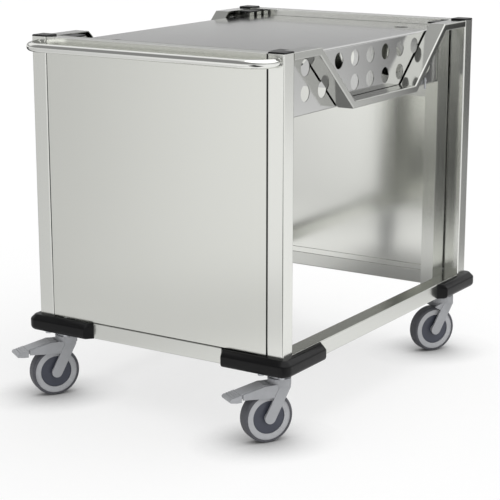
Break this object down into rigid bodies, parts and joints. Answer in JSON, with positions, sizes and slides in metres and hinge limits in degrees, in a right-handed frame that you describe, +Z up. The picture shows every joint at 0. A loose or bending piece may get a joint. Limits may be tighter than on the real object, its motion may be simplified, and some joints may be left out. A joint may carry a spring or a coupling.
{
  "type": "self-leveling cart",
  "caption": "Stainless trolley with a spring-borne platform between two double end walls, dipped side ties, push handle, bumpers and swivel castors.",
  "frame": {"origin": "on the floor, under the middle of the four corner posts", "axes": "+X along the open sides, away from the push handle; +Z up; +Y across, away from the picture's open side"},
  "size_m": [1.0687, 0.7985, 0.918],
  "materials": {
    "panel_steel": "vertically brushed stainless sheet",
    "post_steel": "brushed stainless tube",
    "frame_steel": "brushed stainless",
    "deck_steel": "brushed stainless sheet, folded",
    "polished_tube": "polished stainless tube",
    "zinc_steel": "zinc plated steel",
    "black_plastic": "black moulded plastic",
    "castor_grey": "light grey moulded plastic",
    "tread_grey": "dark grey non-marking tread",
    "hub_blue_grey": "blue-grey moulded disc",
    "white_plastic": "natural sliding plastic"
  },
  "bodies": {
    "frame": {"corner_post_handle_front": "post_steel", "guide_column_handle_front": "frame_steel", "corner_bumper_handle_front": "black_plastic", "corner_post_handle_back": "post_steel", "guide_column_handle_back": "frame_steel", "corner_bumper_handle_back": "black_plastic", "corner_post_far_front": "post_steel", "guide_column_far_front": "frame_steel", "corner_bumper_far_front": "black_plastic", "corner_post_far_back": "post_steel", "guide_column_far_back": "frame_steel", "corner_bumper_far_back": "black_plastic", "side_base_rail_front": "frame_steel", "top_tie_front": "frame_steel", "side_base_rail_back": "frame_steel", "top_tie_back": "frame_steel", "outer_panel_handle": "panel_steel", "inner_panel_handle": "panel_steel", "end_base_rail_handle": "frame_steel", "end_top_rail_handle": "frame_steel", "outer_panel_far": "panel_steel", "inner_panel_far": "panel_steel", "end_base_rail_far": "frame_steel", "end_top_rail_far": "frame_steel", "push_handle": "polished_tube", "post_caps": "black_plastic", "column_caps": "black_plastic", "corner_gussets": "zinc_steel", "castor_plates": "zinc_steel", "castor_bolts": "zinc_steel", "spring_hangers": "zinc_steel", "tension_springs": "zinc_steel"},
    "platform": {"platform_deck": "deck_steel", "platform_ribs": "deck_steel", "spring_yokes": "zinc_steel", "guide_shoes": "white_plastic"},
    "castor_handle_front": {"castor_fork_handle_front": "castor_grey", "castor_axle_handle_front": "zinc_steel"},
    "wheel_handle_front": {"tyre_handle_front": "tread_grey", "wheel_core_handle_front": "castor_grey", "hub_covers_handle_front": "hub_blue_grey"},
    "pedal_front": {"brake_pedal_front": "castor_grey"},
    "castor_handle_back": {"castor_fork_handle_back": "castor_grey", "castor_axle_handle_back": "zinc_steel"},
    "wheel_handle_back": {"tyre_handle_back": "tread_grey", "wheel_core_handle_back": "castor_grey", "hub_covers_handle_back": "hub_blue_grey"},
    "pedal_back": {"brake_pedal_back": "castor_grey"},
    "castor_far_front": {"castor_fork_far_front": "castor_grey", "castor_axle_far_front": "zinc_steel"},
    "wheel_far_front": {"tyre_far_front": "tread_grey", "wheel_core_far_front": "castor_grey", "hub_covers_far_front": "hub_blue_grey"},
    "castor_far_back": {"castor_fork_far_back": "castor_grey", "castor_axle_far_back": "zinc_steel"},
    "wheel_far_back": {"tyre_far_back": "tread_grey", "wheel_core_far_back": "castor_grey", "hub_covers_far_back": "hub_blue_grey"}
  },
  "joints": [
    {"name": "platform_slide", "type": "slide", "parent": "frame", "child": "platform", "axis": [0, 0, -1], "range_m": [0, 0.46], "stiffness_N_per_m": 2000, "springref_m": -0.14, "deforming": ["tension_springs"]},
    {"name": "swivel_handle_front", "type": "hinge", "parent": "frame", "child": "castor_handle_front", "pos_m": [-0.432, -0.32, 0.145], "axis": [0, 0, 1], "continuous": true},
    {"name": "wheel_spin_handle_front", "type": "hinge", "parent": "castor_handle_front", "child": "wheel_handle_front", "pos_m": [-0.46083, -0.30198, 0.0625], "axis": [-0.5299, -0.848, 0], "continuous": true},
    {"name": "pedal_press_front", "type": "hinge", "parent": "castor_handle_front", "child": "pedal_front", "pos_m": [-0.45405, -0.30622, 0.131], "axis": [-0.5299, -0.848, 0], "range_deg": [0, 6]},
    {"name": "swivel_handle_back", "type": "hinge", "parent": "frame", "child": "castor_handle_back", "pos_m": [-0.432, 0.32, 0.145], "axis": [0, 0, 1], "continuous": true},
    {"name": "wheel_spin_handle_back", "type": "hinge", "parent": "castor_handle_back", "child": "wheel_handle_back", "pos_m": [-0.46083, 0.33802, 0.0625], "axis": [-0.5299, -0.848, 0], "continuous": true},
    {"name": "pedal_press_back", "type": "hinge", "parent": "castor_handle_back", "child": "pedal_back", "pos_m": [-0.45405, 0.33378, 0.131], "axis": [-0.5299, -0.848, 0], "range_deg": [0, 6]},
    {"name": "swivel_far_front", "type": "hinge", "parent": "frame", "child": "castor_far_front", "pos_m": [0.432, -0.32, 0.145], "axis": [0, 0, 1], "continuous": true},
    {"name": "wheel_spin_far_front", "type": "hinge", "parent": "castor_far_front", "child": "wheel_far_front", "pos_m": [0.40317, -0.30198, 0.0625], "axis": [-0.5299, -0.848, 0], "continuous": true},
    {"name": "swivel_far_back", "type": "hinge", "parent": "frame", "child": "castor_far_back", "pos_m": [0.432, 0.32, 0.145], "axis": [0, 0, 1], "continuous": true},
    {"name": "wheel_spin_far_back", "type": "hinge", "parent": "castor_far_back", "child": "wheel_far_back", "pos_m": [0.40317, 0.33802, 0.0625], "axis": [-0.5299, -0.848, 0], "continuous": true}
  ]
}
